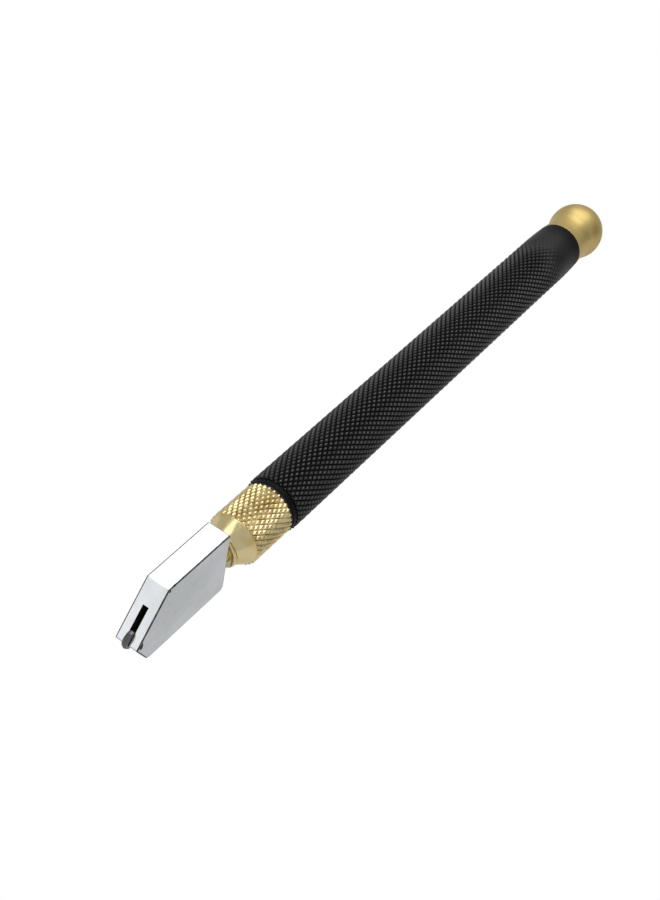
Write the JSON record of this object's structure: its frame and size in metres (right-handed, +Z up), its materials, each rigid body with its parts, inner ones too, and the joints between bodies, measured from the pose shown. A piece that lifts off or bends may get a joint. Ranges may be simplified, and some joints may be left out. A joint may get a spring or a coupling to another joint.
{
  "type": "glass cutter",
  "caption": "Pencil-grip oil-feed glass cutter: slanted steel head with a carbide wheel, knurled brass collar, black knurled barrel and a brass ball end cap.",
  "frame": {"origin": "middle of the tool's box, on the surface under the head's flat underside", "axes": "+X along the tool to its ball end, +Z up out of the head's top face, the head's flat sides face +Y and -Y"},
  "size_m": [0.18, 0.0136, 0.0158],
  "materials": {
    "nickel_plate": "polished plate, lightly worn",
    "carbide": "ground",
    "steel": "plain",
    "polished_brass": "polished",
    "satin_brass": "satin",
    "black_coating": "satin black coating",
    "rubber": "matte",
    "cotton": "twisted, oil-soaked"
  },
  "bodies": {
    "barrel": {"barrel_tube": "black_coating"},
    "gasket": {"collar_gasket": "rubber"},
    "collar": {"nose_collar": "polished_brass", "spring_plug": "polished_brass", "valve_spring": "steel"},
    "lock_screw": {"lock_screw": "steel"},
    "washer": {"thrust_washer": "steel"},
    "head": {"wheel_holder": "nickel_plate", "head_stem": "polished_brass", "axle_pin": "steel", "oil_wick": "cotton", "stem_seal": "rubber", "valve_seal": "rubber"},
    "wheel": {"cutting_wheel": "carbide"},
    "cap_seal": {"cap_seal": "rubber"},
    "end_cap": {"end_cap": "satin_brass"}
  },
  "joints": [
    {"name": "collar_travel", "type": "slide", "parent": "barrel", "child": "gasket", "axis": [-1, 0, 0], "range_m": [0, 0.0081]},
    {"name": "collar_turn", "type": "hinge", "parent": "gasket", "child": "collar", "pos_m": [-0.04654, 0, 0.00788], "axis": [-1, 0, 0], "range_deg": [0, 2880]},
    {"name": "lock_turn", "type": "hinge", "parent": "collar", "child": "lock_screw", "pos_m": [-0.05554, 0, 0.00388], "axis": [0, 0, -1], "range_deg": [0, 180]},
    {"name": "head_press", "type": "slide", "parent": "collar", "child": "washer", "axis": [1, 0, 0], "range_m": [0, 0.0006], "stiffness_N_per_m": 800, "springref_m": -0.003, "deforming": ["valve_spring"]},
    {"name": "head_swivel", "type": "hinge", "parent": "washer", "child": "head", "pos_m": [-0.05854, 0, 0.00788], "axis": [1, 0, 0], "range_deg": [-12, 12]},
    {"name": "wheel_spin", "type": "hinge", "parent": "head", "child": "wheel", "pos_m": [-0.0879, 0, 0.00587], "axis": [0, 1, 0], "continuous": true},
    {"name": "cap_travel", "type": "slide", "parent": "barrel", "child": "cap_seal", "axis": [1, 0, 0], "range_m": [0, 0.0081]},
    {"name": "cap_turn", "type": "hinge", "parent": "cap_seal", "child": "end_cap", "pos_m": [0.07406, 0, 0.00788], "axis": [1, 0, 0], "range_deg": [0, 2880]}
  ],
  "couplings": [
    {"joint": "collar_travel", "follows": "collar_turn", "m_per_rad": 0.00015915},
    {"joint": "cap_travel", "follows": "cap_turn", "m_per_rad": 0.00015915}
  ]
}
